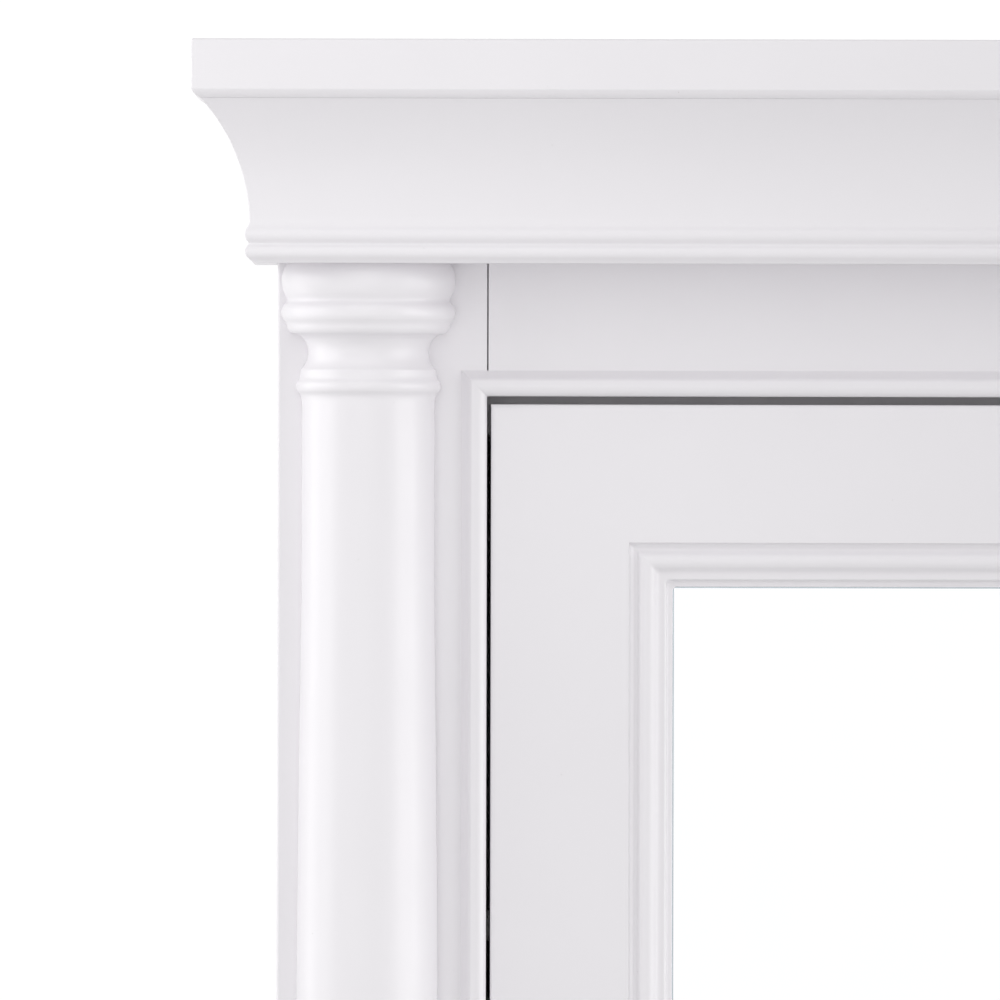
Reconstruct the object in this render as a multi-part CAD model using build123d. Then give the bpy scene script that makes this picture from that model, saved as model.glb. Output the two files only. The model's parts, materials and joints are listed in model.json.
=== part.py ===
from build123d import *
import math
import os

# A wall-hung medicine cabinet: a case behind a face frame, a mirrored door on butt hinges,
# turned half columns on the stiles, and a cove-and-bead cornice under a slab cap.
#
# Millimetres, +Z up, +X to the right of someone facing the cabinet, the wall at Y = 0.
# Heights in this file count up from the underside of the base. Saving lowers every piece by
# ORIGIN_HEIGHT, which puts the origin at the centre of the four wall screws.

UP = (0, 0, 1)
FORWARD = (0, -1, 0)
RIGHT = (1, 0, 0)
LEFT = (-1, 0, 0)
DOWN = (0, 0, -1)
WALL_Y = 0.0
PAST_EVERYTHING = 1000.0

# Case and face frame
CASE_HALF = 272.0
PANEL = 16.0
DADO = 6.0
BACK_THICK = 6.0
HANGING_RAIL = 16.0
FACE_Y = -140.0
FRAME_THICK = 19.0
STILE_WIDTH = 80.5
STILE_EASING = 1.2
SHOULDER_HAIRLINE = 0.5
TENON_THICK = 6.0
TENON_LENGTH = 10.0
TENON_INSET = 12.0
FRAME_BACK_Y = FACE_Y + FRAME_THICK
FRAME_MIDDLE_Y = FACE_Y + FRAME_THICK / 2
OPENING_HALF = CASE_HALF - STILE_WIDTH
CASE_INSIDE = CASE_HALF - PANEL
BACK_FRONT_Y = WALL_Y - HANGING_RAIL - BACK_THICK

# Heights above the underside of the base
BASE_BOARD_TOP = 19.0
DECK_TOP = 32.1
BOTTOM_PANEL_LOW = 67.0
OPENING_LOW = 82.0
OPENING_HIGH = 701.4
TOP_PANEL_LOW = 711.4
TOP_PANEL_HIGH = 726.4
CROWN_LOW = 752.3
CROWN_HEIGHT = 63.0
CAP_THICK = 22.7
CROWN_HIGH = CROWN_LOW + CROWN_HEIGHT

# Wall screws: four holes through the hanging rails and the back
WALL_SCREW_HALF = 203.2
WALL_SCREW_LOW = 112.0
WALL_SCREW_HIGH = 672.0
WALL_SCREW_R = 2.75
HANGING_RAIL_LOW_TOP = 142.0
HANGING_RAIL_HIGH_LOW = 641.4
ORIGIN_HEIGHT = (WALL_SCREW_LOW + WALL_SCREW_HIGH) / 2

# Cornice and base mouldings
CORNICE_FORWARD = 29.5
CORNICE_BOARD = 16.0
SOFFIT_THICK = 10.0
CROWN_REACH = 27.9
CAP_REACH = 33.0
DECK_REACH = 12.5
BASE_REACH = 18.0
BASE_FORWARD = 32.0

# Bead strip planted round the door opening
STRIP_WIDTH = 7.7
STRIP_PROUD = 4.0

# Half columns
COLUMN_X = CASE_HALF - 34.9
COLUMN_HEIGHT = CROWN_LOW - DECK_TOP
SHAFT_R = 25.55
SHAFT_SWELL = 1.75
SHAFT_TAPERS = 6
SHAFT_STRAIGHT = 130.0
CAPITAL_HEIGHT = 51.0

# Door
DOOR_GAP = 1.6
DOOR_LOW = 85.0
DOOR_HIGH = 698.3
DOOR_FRAME = 53.0
DOOR_EASING = 2.7
DOOR_HALF = OPENING_HALF - DOOR_GAP
DOOR_INSIDE = DOOR_HALF - DOOR_FRAME
DOOR_TENON_Y = FRAME_MIDDLE_Y + 1.5
DOOR_MIDDLE = (DOOR_LOW + DOOR_HIGH) / 2
PANEL_LOW = DOOR_LOW + DOOR_FRAME
PANEL_HIGH = DOOR_HIGH - DOOR_FRAME
MOULDING_WIDTH = 16.9
GLASS_DEPTH = 8.0
GLASS_THICK = 4.0
GLASS_CLEARANCE = 1.0
BACKING_THICK = 3.0
RETAINER_WIDTH = 9.0
GLASS_FRONT_Y = FACE_Y + GLASS_DEPTH
GLASS_BACK_Y = GLASS_FRONT_Y + GLASS_THICK
BACKING_BACK_Y = GLASS_BACK_Y + BACKING_THICK

# Butt hinges
PIN_X = OPENING_HALF - DOOR_GAP / 2
PIN_Y = FACE_Y - 3.6
PIN_R = 1.5
PIN_HEAD_R = 2.5
PIN_HEAD = 1.4
PIN_HEAD_BEVEL = 0.6
RUNNING_CLEARANCE = 0.05
KNUCKLE_R = 3.4
KNUCKLES = 5
KNUCKLE_GAP = 0.3
HINGE_LENGTH = 50.0
LEAF_THICK = 1.2
LEAF_GAP = 0.2
LEAF_FRONT_Y = FACE_Y + 0.1
LEAF_BACK_Y = FACE_Y + 16.0
HINGE_LEVELS = {"lower": DOOR_LOW + 90.0, "upper": DOOR_HIGH - 90.0}
HINGE_SCREW_Y = FACE_Y + 9.5
HINGE_SCREW_OFFSET = 15.0
HINGE_NOTCH_SIDE = 0.4
HINGE_NOTCH_END = 2.0

# Screws: head radius, head depth, shank radius, whole length
HINGE_SCREW = (2.6, 1.2, 1.4, 15.0)
STRIKE_SCREW = (2.6, 1.2, 1.4, 12.0)
CATCH_SCREW = (3.0, 1.8, 1.5, 15.0)
COLUMN_SCREW = (4.0, 2.4, 2.0, 34.0)
BASE_SCREW = (4.0, 2.4, 2.0, 52.0)
COLUMN_SCREW_LEVELS = (125.0, 392.0, 660.0)
SIDE_SCREW_YS = (-30.0, -100.0)
COLUMN_FOOT_SCREW_Y = FACE_Y - 12.0

# Shelves and their pins
SHELF_UNDERSIDES = (277.8, 491.6)
SHELF_THICK = 12.0
SHELF_END_GAP = 1.0
SHELF_HALF = CASE_INSIDE - SHELF_END_GAP
SHELF_FRONT_Y = -110.0
SHELF_EDGE_R = 3.0
PIN_ROW_YS = (-98.0, -38.0)
PIN_HOLE_R = 2.5
PIN_HOLE_DEPTH = 8.0
PIN_HOLE_PITCH = 32.0
PIN_HOLES_EACH_WAY = 1
PEG_END_GAP = 0.3
PEG_OUT = 7.0
TONGUE_OUT = 10.0
TONGUE_HALF = 4.0
TONGUE_THICK = 1.5

# Catch, stop and knob
CATCH_HALF_HEIGHT = 23.0
CATCH_FOOT_X = (-226.0, -193.0)
CATCH_FOOT_THICK = 5.0
CATCH_FOOT_CORNER_R = 5.0
CATCH_BODY_X = (-193.0, -172.0)
CATCH_BODY_DEPTH = 14.0
CATCH_BODY_EDGE_R = 3.0
CATCH_FACE_Y = FRAME_BACK_Y + 1.4
CATCH_SCREW_X = -213.5
CATCH_SCREW_OFFSET = 14.0
MAGNET_DEPTH = 9.0
STRIKE_THICK = 1.2
STRIKE_X = (-188.0, -174.0)
STRIKE_HALF_HEIGHT = 18.0
STRIKE_CORNER_R = 3.0
STOP_HALF = 240.0
STOP_FRONT_Y = FRAME_BACK_Y + 1.2
STOP_DEPTH = 12.0
STOP_LOW = TOP_PANEL_LOW - 25.4
STOP_EDGE_R = 1.5
BUMPER_THICK = 1.0
BUMPER_R = 4.0
BUMPER_X = 150.0
BUMPER_LEVEL = TOP_PANEL_LOW - 19.0
KNOB_X = -(DOOR_HALF + DOOR_INSIDE) / 2
KNOB_OUT = 26.0
KNOB_R = 14.0
KNOB_DOME = 5.0
KNOB_BORE_R = 2.0
KNOB_BORE_DEPTH = 12.0
KNOB_CLEARANCE_R = 2.3
PAN_HEAD_R = 4.0
PAN_HEAD = 2.4
PAN_HEAD_BEVEL = 0.8


# Ways of making a form


def block(x, y, z):
    """A box between a pair of limits on each axis."""
    x0, x1 = sorted(x)
    y0, y1 = sorted(y)
    z0, z1 = sorted(z)
    middle = Pos((x0 + x1) / 2, (y0 + y1) / 2, (z0 + z1) / 2)
    return middle * Box(x1 - x0, y1 - y0, z1 - z0)


def outline(start, *steps):
    """A closed face. Each step is a corner, or a pair: a point on an arc and the arc's end."""
    edges = []
    here = start
    for step in steps:
        if isinstance(step[0], tuple):
            edges.append(ThreePointArc(here, step[0], step[1]))
            here = step[1]
        else:
            edges.append(Line(here, step))
            here = step
    edges.append(Line(here, start))
    return make_face(edges)


def run(profile, corner, out, up, length):
    """A straight moulding: a profile drawn as (out, up) from its corner, run for a length."""
    along = Vector(*out).cross(Vector(*up))
    return extrude(Plane(corner, x_dir=out, z_dir=along) * profile, amount=length)


def mitre_zone(plane, *corners):
    """An endless prism that keeps the part of a moulding between its mitres."""
    return extrude(plane * make_face(Polyline(*corners, close=True)), amount=PAST_EVERYTHING, both=True)


def other_side(piece):
    """The same piece, handed, on the right half of the cabinet."""
    return mirror(piece, about=Plane.YZ)


def three_sided(profile, half, front_y, low, reach):
    """A moulding across the front and back along both sides to the wall, mitred at the corners."""
    far = half + reach
    far_y = front_y - reach
    front = run(profile, (far, front_y, low), FORWARD, UP, 2 * far)
    front &= mitre_zone(Plane.XY, (-half, front_y), (half, front_y), (far, far_y), (-far, far_y))
    left = run(profile, (-half, far_y, low), LEFT, UP, -far_y)
    left &= mitre_zone(Plane.XY, (-half, WALL_Y), (-half, front_y), (-far, far_y), (-far, WALL_Y))
    return front, left, other_side(left)


def four_sided(profile, width, half, low, high, back_y):
    """Four mitred strips inside a rectangle, drawn as (in from its edge, forward of back_y)."""
    inner = half - width
    inner_low = low + width
    inner_high = high - width
    top = run(profile, (half, back_y, high), DOWN, FORWARD, 2 * half)
    top &= mitre_zone(Plane.XZ, (-half, high), (half, high), (inner, inner_high), (-inner, inner_high))
    bottom = run(profile, (-half, back_y, low), UP, FORWARD, 2 * half)
    bottom &= mitre_zone(Plane.XZ, (-half, low), (half, low), (inner, inner_low), (-inner, inner_low))
    left = run(profile, (-half, back_y, high), RIGHT, FORWARD, high - low)
    left &= mitre_zone(Plane.XZ, (-half, low), (-half, high), (-inner, inner_high), (-inner, inner_low))
    return {"top": top, "bottom": bottom, "left": left, "right": other_side(left)}


def screw(size, place):
    """A countersunk screw whose head lies flush in the place's plane and which points along its normal."""
    head_r, head, shank_r, length = size
    half = outline((0, 0), (head_r, 0), (shank_r, head), (shank_r, length), (0, length))
    return place * revolve(Plane.XZ * half, axis=Axis.Z)


def facing(point, direction):
    """A plane at a point whose normal is the direction."""
    return Plane(point, z_dir=direction)


def edges_at(piece, *places):
    """The straight edges whose centres lie at given coordinates, such as {"Y": -140, "X": 5}."""
    found = []
    for edge in piece.edges():
        centre = edge.center()
        where = {"X": centre.X, "Y": centre.Y, "Z": centre.Z}
        if any(all(abs(where[axis] - value) < 0.01 for axis, value in place.items()) for place in places):
            found.append(edge)
    return found


def save(name, *pieces):
    """Writes one node. Several pieces are separate solids of the same node."""
    lowered = [Pos(0, 0, -ORIGIN_HEIGHT) * piece for piece in pieces]
    whole = lowered[0] if len(lowered) == 1 else Compound(children=lowered)
    export_step(whole, f"parts/{name}.step")


# Fasteners and hardware


def hinge_screws(side):
    """The screws of both leaves on one side: +1 in the frame, -1 in the door."""
    leaf_face_x = PIN_X + side * LEAF_GAP / 2
    screws = []
    for level in HINGE_LEVELS.values():
        for offset in (-HINGE_SCREW_OFFSET, HINGE_SCREW_OFFSET):
            point = (leaf_face_x, HINGE_SCREW_Y, level + offset)
            screws.append(screw(HINGE_SCREW, facing(point, (side, 0, 0))))
    return screws


def hinge_mortises(side):
    """Shallow recesses in the wood for the leaves on one side."""
    leaf_back_x = PIN_X + side * (LEAF_GAP / 2 + LEAF_THICK)
    recesses = []
    for level in HINGE_LEVELS.values():
        heights = (level - HINGE_LENGTH / 2, level + HINGE_LENGTH / 2)
        recesses.append(block((PIN_X, leaf_back_x), (FACE_Y - STRIP_PROUD, LEAF_BACK_Y), heights))
    return recesses


def hinge_leaf(side, level, first_knuckle, bore_r):
    """A leaf with every second knuckle, bridged to it, and its countersunk screw holes."""
    near_x = PIN_X + side * LEAF_GAP / 2
    far_x = near_x + side * LEAF_THICK
    bottom = level - HINGE_LENGTH / 2
    pitch = HINGE_LENGTH / KNUCKLES
    leaf = block((near_x, far_x), (LEAF_FRONT_Y, LEAF_BACK_Y), (bottom, bottom + HINGE_LENGTH))
    for number in range(first_knuckle, KNUCKLES, 2):
        low = bottom + number * pitch + KNUCKLE_GAP / 2
        high = low + pitch - KNUCKLE_GAP
        barrel = Pos(PIN_X, PIN_Y, (low + high) / 2) * Cylinder(KNUCKLE_R, high - low)
        bridge = block((near_x, far_x), (PIN_Y, LEAF_FRONT_Y), (low, high))
        leaf += barrel + bridge
    leaf -= Pos(PIN_X, PIN_Y, level) * Cylinder(bore_r, 2 * HINGE_LENGTH)
    for each in hinge_screws(side):
        leaf -= each
    return leaf


def dome(edge_r, rise, top):
    """An arc of a sphere on the axis, from a rim of radius edge_r up to its crown at top."""
    sphere_r = (edge_r ** 2 + rise ** 2) / (2 * rise)
    through_r = edge_r / 2
    through_height = top - sphere_r + math.sqrt(sphere_r ** 2 - through_r ** 2)
    return (through_r, through_height), (0, top)


def hinge_pin(level):
    """A pin with a small bevelled head at each end."""
    half = HINGE_LENGTH / 2
    top = half + PIN_HEAD
    upper_half = outline(
        (0, 0),
        (PIN_R, 0),
        (PIN_R, half),
        (PIN_HEAD_R, half),
        (PIN_HEAD_R, top - PIN_HEAD_BEVEL),
        (PIN_HEAD_R - PIN_HEAD_BEVEL, top),
        (0, top),
    )
    upper = revolve(Plane.XZ * upper_half, axis=Axis.Z)
    return Pos(PIN_X, PIN_Y, level) * (upper + mirror(upper, about=Plane.XY))


def column_screws():
    """Screws from inside the case, through each stile into its column."""
    screws = []
    for x in (-COLUMN_X, COLUMN_X):
        for level in COLUMN_SCREW_LEVELS:
            screws.append(screw(COLUMN_SCREW, facing((x, FRAME_BACK_Y, level), FORWARD)))
    return screws


def base_screws():
    """Screws up through the base into the side panels and the feet of the columns."""
    side_x = CASE_HALF - PANEL / 2
    places = [(side_x, y) for y in SIDE_SCREW_YS] + [(COLUMN_X, COLUMN_FOOT_SCREW_Y)]
    screws = []
    for x, y in places:
        for side in (-1, 1):
            screws.append(screw(BASE_SCREW, facing((side * x, y, 0), UP)))
    return screws


def catch_screws():
    """Two screws through the catch's foot into the back of the left stile."""
    foot_back_y = FRAME_BACK_Y + CATCH_FOOT_THICK
    screws = []
    for offset in (-CATCH_SCREW_OFFSET, CATCH_SCREW_OFFSET):
        point = (CATCH_SCREW_X, foot_back_y, DOOR_MIDDLE + offset)
        screws.append(screw(CATCH_SCREW, facing(point, FORWARD)))
    return screws


def strike_screw():
    middle_x = sum(STRIKE_X) / 2
    return screw(STRIKE_SCREW, facing((middle_x, FRAME_BACK_Y + STRIKE_THICK, DOOR_MIDDLE), FORWARD))


def knob_screw():
    """A pan-head screw from behind the door into the knob."""
    length = FRAME_THICK + KNOB_BORE_DEPTH
    half = outline(
        (0, -PAN_HEAD),
        (PAN_HEAD_R - PAN_HEAD_BEVEL, -PAN_HEAD),
        (PAN_HEAD_R, PAN_HEAD_BEVEL - PAN_HEAD),
        (PAN_HEAD_R, 0),
        (KNOB_BORE_R, 0),
        (KNOB_BORE_R, length),
        (0, length),
    )
    return facing((KNOB_X, FRAME_BACK_Y, DOOR_MIDDLE), FORWARD) * revolve(Plane.XZ * half, axis=Axis.Z)


def door_knob():
    """A turned mushroom knob: a bevelled foot, a tapered neck and a domed cap."""
    dome_low = KNOB_OUT - KNOB_DOME
    half = outline(
        (0, 0),
        (8.5, 0),
        (8.5, 1.6),
        (6.6, 2.8),
        (5.4, 11.0),
        (12.6, dome_low - 3.2),
        (KNOB_R, dome_low - 1.8),
        (KNOB_R, dome_low),
        dome(KNOB_R, KNOB_DOME, KNOB_OUT),
    )
    knob = facing((KNOB_X, FACE_Y, DOOR_MIDDLE), FORWARD) * revolve(Plane.XZ * half, axis=Axis.Z)
    return knob - knob_screw()


def catch_housing():
    """The catch's body with a pocket for its magnet, on a foot screwed to the stile."""
    heights = (DOOR_MIDDLE - CATCH_HALF_HEIGHT, DOOR_MIDDLE + CATCH_HALF_HEIGHT)
    foot = block(CATCH_FOOT_X, (FRAME_BACK_Y, FRAME_BACK_Y + CATCH_FOOT_THICK), heights)
    foot = fillet(foot.edges().filter_by(Axis.Y).group_by(Axis.X)[0], CATCH_FOOT_CORNER_R)
    body = block(CATCH_BODY_X, (CATCH_FACE_Y, CATCH_FACE_Y + CATCH_BODY_DEPTH), heights)
    body = fillet(body.edges().filter_by(Axis.Z).group_by(Axis.Y)[-1], CATCH_BODY_EDGE_R)
    housing = foot + body - catch_magnet()
    for each in catch_screws():
        housing -= each
    return housing


def catch_magnet():
    low = DOOR_MIDDLE - STRIKE_HALF_HEIGHT
    high = DOOR_MIDDLE + STRIKE_HALF_HEIGHT
    return block(STRIKE_X, (CATCH_FACE_Y, CATCH_FACE_Y + MAGNET_DEPTH), (low, high))


def strike_plate():
    low = DOOR_MIDDLE - STRIKE_HALF_HEIGHT
    high = DOOR_MIDDLE + STRIKE_HALF_HEIGHT
    plate = block(STRIKE_X, (FRAME_BACK_Y, FRAME_BACK_Y + STRIKE_THICK), (low, high))
    plate = fillet(plate.edges().filter_by(Axis.Y), STRIKE_CORNER_R)
    return plate - strike_screw()


# Face frame


def tenon(half_length, middle_y, low, high):
    """A tongue that runs out past both shoulders of a rail."""
    y = (middle_y - TENON_THICK / 2, middle_y + TENON_THICK / 2)
    return block((-half_length, half_length), y, (low + TENON_INSET, high - TENON_INSET))


def frame_tenon(low, high):
    return tenon(OPENING_HALF + TENON_LENGTH, FRAME_MIDDLE_Y, low, high)


def frame_rail(low, high):
    shoulder = OPENING_HALF - SHOULDER_HAIRLINE
    rail = block((-shoulder, shoulder), (FACE_Y, FRAME_BACK_Y), (low, high))
    return rail + frame_tenon(low, high)


def frame_stile():
    """The left stile, before the hardware of its own side is let in."""
    stile = block((-CASE_HALF, -OPENING_HALF), (FACE_Y, FRAME_BACK_Y), (DECK_TOP, CROWN_HIGH))
    stile = fillet(edges_at(stile, {"X": -CASE_HALF, "Y": FACE_Y}), STILE_EASING)
    stile -= frame_tenon(OPENING_HIGH, CROWN_HIGH)
    stile -= frame_tenon(DECK_TOP, OPENING_LOW)
    for each in column_screws():
        stile -= each
    return stile


def left_frame_stile():
    stile = frame_stile()
    for each in catch_screws():
        stile -= each
    return stile


def right_frame_stile():
    stile = other_side(frame_stile())
    for each in hinge_mortises(1) + hinge_screws(1):
        stile -= each
    return stile


def bead_strips():
    """A flat bead with a small outer round and a quarter round towards the opening."""
    profile = outline(
        (0, 0),
        (0, STRIP_PROUD - 0.8),
        ((0.23, STRIP_PROUD - 0.23), (0.8, STRIP_PROUD)),
        (3.9, STRIP_PROUD),
        ((STRIP_WIDTH - 1.11, STRIP_PROUD - 1.11), (STRIP_WIDTH, 0.2)),
        (STRIP_WIDTH, 0),
    )
    low = OPENING_LOW - STRIP_WIDTH
    high = OPENING_HIGH + STRIP_WIDTH
    strips = four_sided(profile, STRIP_WIDTH, OPENING_HALF + STRIP_WIDTH, low, high, FACE_Y)
    notch_x = (OPENING_HALF, PIN_X + KNUCKLE_R + HINGE_NOTCH_SIDE)
    notch_half = HINGE_LENGTH / 2 + HINGE_NOTCH_END
    for level in HINGE_LEVELS.values():
        heights = (level - notch_half, level + notch_half)
        strips["right"] -= block(notch_x, (FACE_Y, FACE_Y - STRIP_PROUD), heights)
    return strips


# Half columns


def capital_outline():
    """Radius against distance from the end of the column, from the end down to the shaft."""
    return [
        (31.4, 0.0),
        ((33.3, 7.9), (30.55, 14.4)),
        ((33.4, 19.4), (31.6, 22.8)),
        (31.2, 23.3),
        ((31.0, 25.0), (29.3, 27.0)),
        (26.9, 27.2),
        ((23.1, 34.4), (26.1, 40.9)),
        (26.15, 44.4),
        ((27.9, 47.3), (26.0, 50.2)),
        (SHAFT_R, CAPITAL_HEIGHT),
    ]


def end_edges(height_of):
    """The capital's edges, placed by a function that turns distance from the end into height."""
    here, *steps = capital_outline()
    here = (here[0], height_of(here[1]))
    edges = []
    for step in steps:
        if isinstance(step[0], tuple):
            through, end = [(radius, height_of(distance)) for radius, distance in step]
            edges.append(ThreePointArc(here, through, end))
        else:
            end = (step[0], height_of(step[1]))
            edges.append(Line(here, end))
        here = end
    return edges


def shaft_outline():
    """Radius and height up the shaft, which swells along a flat parabola in long tapers."""
    swelling_length = COLUMN_HEIGHT - 2 * SHAFT_STRAIGHT
    points = [(SHAFT_R, CAPITAL_HEIGHT)]
    for step in range(SHAFT_TAPERS + 1):
        share = step / SHAFT_TAPERS
        swell = 4 * SHAFT_SWELL * share * (1 - share)
        points.append((SHAFT_R + swell, SHAFT_STRAIGHT + share * swelling_length))
    points.append((SHAFT_R, COLUMN_HEIGHT - CAPITAL_HEIGHT))
    return points


def half_column():
    """A column turned in one piece and sawn in half: base, swelling shaft and capital."""
    edges = end_edges(lambda distance: distance)
    edges.append(Polyline(*shaft_outline()))
    edges += end_edges(lambda distance: COLUMN_HEIGHT - distance)
    end_r = capital_outline()[0][0]
    edges.append(Polyline((end_r, COLUMN_HEIGHT), (0, COLUMN_HEIGHT), (0, 0), (end_r, 0)))
    turned = revolve(Plane.XZ * make_face(edges), axis=Axis.Z, revolution_arc=180)
    return Pos(-COLUMN_X, FACE_Y, DECK_TOP) * Rot(0, 0, 180) * turned


def columns():
    left = half_column()
    right = other_side(left)
    for each in column_screws() + base_screws():
        left -= each
        right -= each
    return left, right


# Cornice


def crown_mouldings():
    """Two beads, a quirk, a cove and a fillet, drawn as (out from the case, up)."""
    profile = outline(
        (0, 0),
        (9.1, 0),
        ((12.45, 3.35), (9.4, 6.7)),
        ((12.5, 9.95), (9.6, 13.15)),
        (9.9, 13.9),
        (10.7, 14.1),
        (10.8, 15.5),
        ((15.1, 39.4), (27.3, 60.5)),
        (CROWN_REACH, 60.9),
        (CROWN_REACH, CROWN_HEIGHT),
        (0, CROWN_HEIGHT),
    )
    return three_sided(profile, CASE_HALF, FACE_Y - CORNICE_FORWARD, CROWN_LOW, CAP_REACH)


def cap_board():
    """The slab on top, whose lower edge rounds back to the crown."""
    edge = outline(
        (0, 0),
        (CAP_REACH - 5.0, 0),
        ((CAP_REACH - 1.5, 1.5), (CAP_REACH, 5.0)),
        (CAP_REACH, CAP_THICK - 1.0),
        ((CAP_REACH - 0.3, CAP_THICK - 0.3), (CAP_REACH - 1.0, CAP_THICK)),
        (0, CAP_THICK),
    )
    front_y = FACE_Y - CORNICE_FORWARD
    slab = block((-CASE_HALF, CASE_HALF), (front_y, WALL_Y), (CROWN_HIGH, CROWN_HIGH + CAP_THICK))
    for side in three_sided(edge, CASE_HALF, front_y, CROWN_HIGH, CAP_REACH):
        slab += side
    return slab


def cornice_end_blocks():
    front_y = FACE_Y - CORNICE_FORWARD + CORNICE_BOARD
    left = block((-CASE_HALF, -CASE_INSIDE), (front_y, FACE_Y), (CROWN_LOW + SOFFIT_THICK, CROWN_HIGH))
    return left, other_side(left)


# Base


def base_board():
    """The lowest board, with rounded front and side edges."""
    edge = outline(
        (0, 0),
        (BASE_REACH - 2.0, 0),
        ((BASE_REACH - 0.6, 0.6), (BASE_REACH, 2.0)),
        (BASE_REACH, BASE_BOARD_TOP - 6.0),
        ((BASE_REACH - 1.76, BASE_BOARD_TOP - 1.76), (BASE_REACH - 6.0, BASE_BOARD_TOP)),
        (0, BASE_BOARD_TOP),
    )
    front_y = FACE_Y - BASE_FORWARD
    board = block((-CASE_HALF, CASE_HALF), (front_y, WALL_Y), (0, BASE_BOARD_TOP))
    for side in three_sided(edge, CASE_HALF, front_y, 0, BASE_REACH):
        board += side
    for each in base_screws():
        board -= each
    return board


def base_deck():
    """The board that the columns stand on, edged with the same two beads as the crown."""
    edge = outline(
        (0, 0),
        (9.1, 0),
        ((12.45, 3.35), (9.4, 6.7)),
        ((DECK_REACH, 9.9), (9.6, DECK_TOP - BASE_BOARD_TOP)),
        (0, DECK_TOP - BASE_BOARD_TOP),
    )
    front_y = FACE_Y - BASE_FORWARD
    board = block((-CASE_HALF, CASE_HALF), (front_y, WALL_Y), (BASE_BOARD_TOP, DECK_TOP))
    for side in three_sided(edge, CASE_HALF, front_y, BASE_BOARD_TOP, DECK_REACH):
        board += side
    for each in base_screws():
        board -= each
    return board


# Case


def back_panel():
    panel = block(
        (-CASE_INSIDE - DADO, CASE_INSIDE + DADO),
        (BACK_FRONT_Y, BACK_FRONT_Y + BACK_THICK),
        (BOTTOM_PANEL_LOW, TOP_PANEL_HIGH),
    )
    return panel - wall_screw_holes()


def wall_screw_holes():
    holes = Part()
    for x in (-WALL_SCREW_HALF, WALL_SCREW_HALF):
        for level in (WALL_SCREW_LOW, WALL_SCREW_HIGH):
            holes += Pos(x, 0, level) * Rot(90, 0, 0) * Cylinder(WALL_SCREW_R, PAST_EVERYTHING)
    return holes


def hanging_rail(low, high):
    rail = block((-CASE_INSIDE, CASE_INSIDE), (-HANGING_RAIL, WALL_Y), (low, high))
    return rail - wall_screw_holes()


def case_shelf_panel(low, high):
    """The fixed top or bottom of the case, let into the side panels."""
    half = CASE_INSIDE + DADO
    return block((-half, half), (FRAME_BACK_Y, BACK_FRONT_Y), (low, high))


def pin_hole_places():
    """Every shelf pin hole on the left side: rows at front and back, round each shelf."""
    places = []
    for y in PIN_ROW_YS:
        for underside in SHELF_UNDERSIDES:
            for step in range(-PIN_HOLES_EACH_WAY, PIN_HOLES_EACH_WAY + 1):
                places.append((y, underside - PIN_HOLE_R + step * PIN_HOLE_PITCH))
    return places


def left_side_panel():
    panel = block((-CASE_HALF, -CASE_INSIDE), (FRAME_BACK_Y, WALL_Y), (DECK_TOP, CROWN_HIGH))
    panel -= case_shelf_panel(BOTTOM_PANEL_LOW, OPENING_LOW)
    panel -= case_shelf_panel(TOP_PANEL_LOW, TOP_PANEL_HIGH)
    panel -= back_panel()
    for each in base_screws():
        panel -= each
    for y, level in pin_hole_places():
        middle_x = -CASE_INSIDE - PIN_HOLE_DEPTH / 2
        panel -= Pos(middle_x, y, level) * Rot(0, 90, 0) * Cylinder(PIN_HOLE_R, PIN_HOLE_DEPTH)
    return panel


# Inside


def shelf(underside):
    depth = (SHELF_FRONT_Y, BACK_FRONT_Y - SHELF_END_GAP)
    board = block((-SHELF_HALF, SHELF_HALF), depth, (underside, underside + SHELF_THICK))
    return fillet(board.edges().filter_by(Axis.X).group_by(Axis.Y)[0], SHELF_EDGE_R)


def shelf_pins():
    """Spade pins: a round peg in the side panel and a flat tongue under the shelf."""
    peg_x = (-CASE_INSIDE - PIN_HOLE_DEPTH + PEG_END_GAP, -CASE_INSIDE + PEG_OUT)
    tongue_x = (-SHELF_HALF, -CASE_INSIDE + TONGUE_OUT)
    pins = []
    for y in PIN_ROW_YS:
        for underside in SHELF_UNDERSIDES:
            peg = Rot(0, 90, 0) * Cylinder(PIN_HOLE_R, peg_x[1] - peg_x[0])
            peg = Pos(sum(peg_x) / 2, y, underside - PIN_HOLE_R) * peg
            tongue_y = (y - TONGUE_HALF, y + TONGUE_HALF)
            left = peg + block(tongue_x, tongue_y, (underside - TONGUE_THICK, underside))
            pins += [left, other_side(left)]
    return pins


def door_stop_strip():
    depth = (STOP_FRONT_Y, STOP_FRONT_Y + STOP_DEPTH)
    strip = block((-STOP_HALF, STOP_HALF), depth, (STOP_LOW, TOP_PANEL_LOW))
    return fillet(edges_at(strip, {"Y": STOP_FRONT_Y, "Z": STOP_LOW}), STOP_EDGE_R)


def door_bumpers():
    bumpers = []
    for x in (-BUMPER_X, BUMPER_X):
        place = Pos(x, STOP_FRONT_Y - BUMPER_THICK / 2, BUMPER_LEVEL)
        bumpers.append(place * Rot(90, 0, 0) * Cylinder(BUMPER_R, BUMPER_THICK))
    return bumpers


# Door


def door_tenon(low, high):
    return tenon(DOOR_INSIDE + TENON_LENGTH, DOOR_TENON_Y, low, high)


def door_rail(low, high, outer):
    """A rail between the door's stiles, eased on its outer front edge."""
    rail = block((-DOOR_INSIDE, DOOR_INSIDE), (FACE_Y, FRAME_BACK_Y), (low, high))
    rail = fillet(edges_at(rail, {"Y": FACE_Y, "Z": outer}), DOOR_EASING)
    return rail + door_tenon(low, high)


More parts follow.
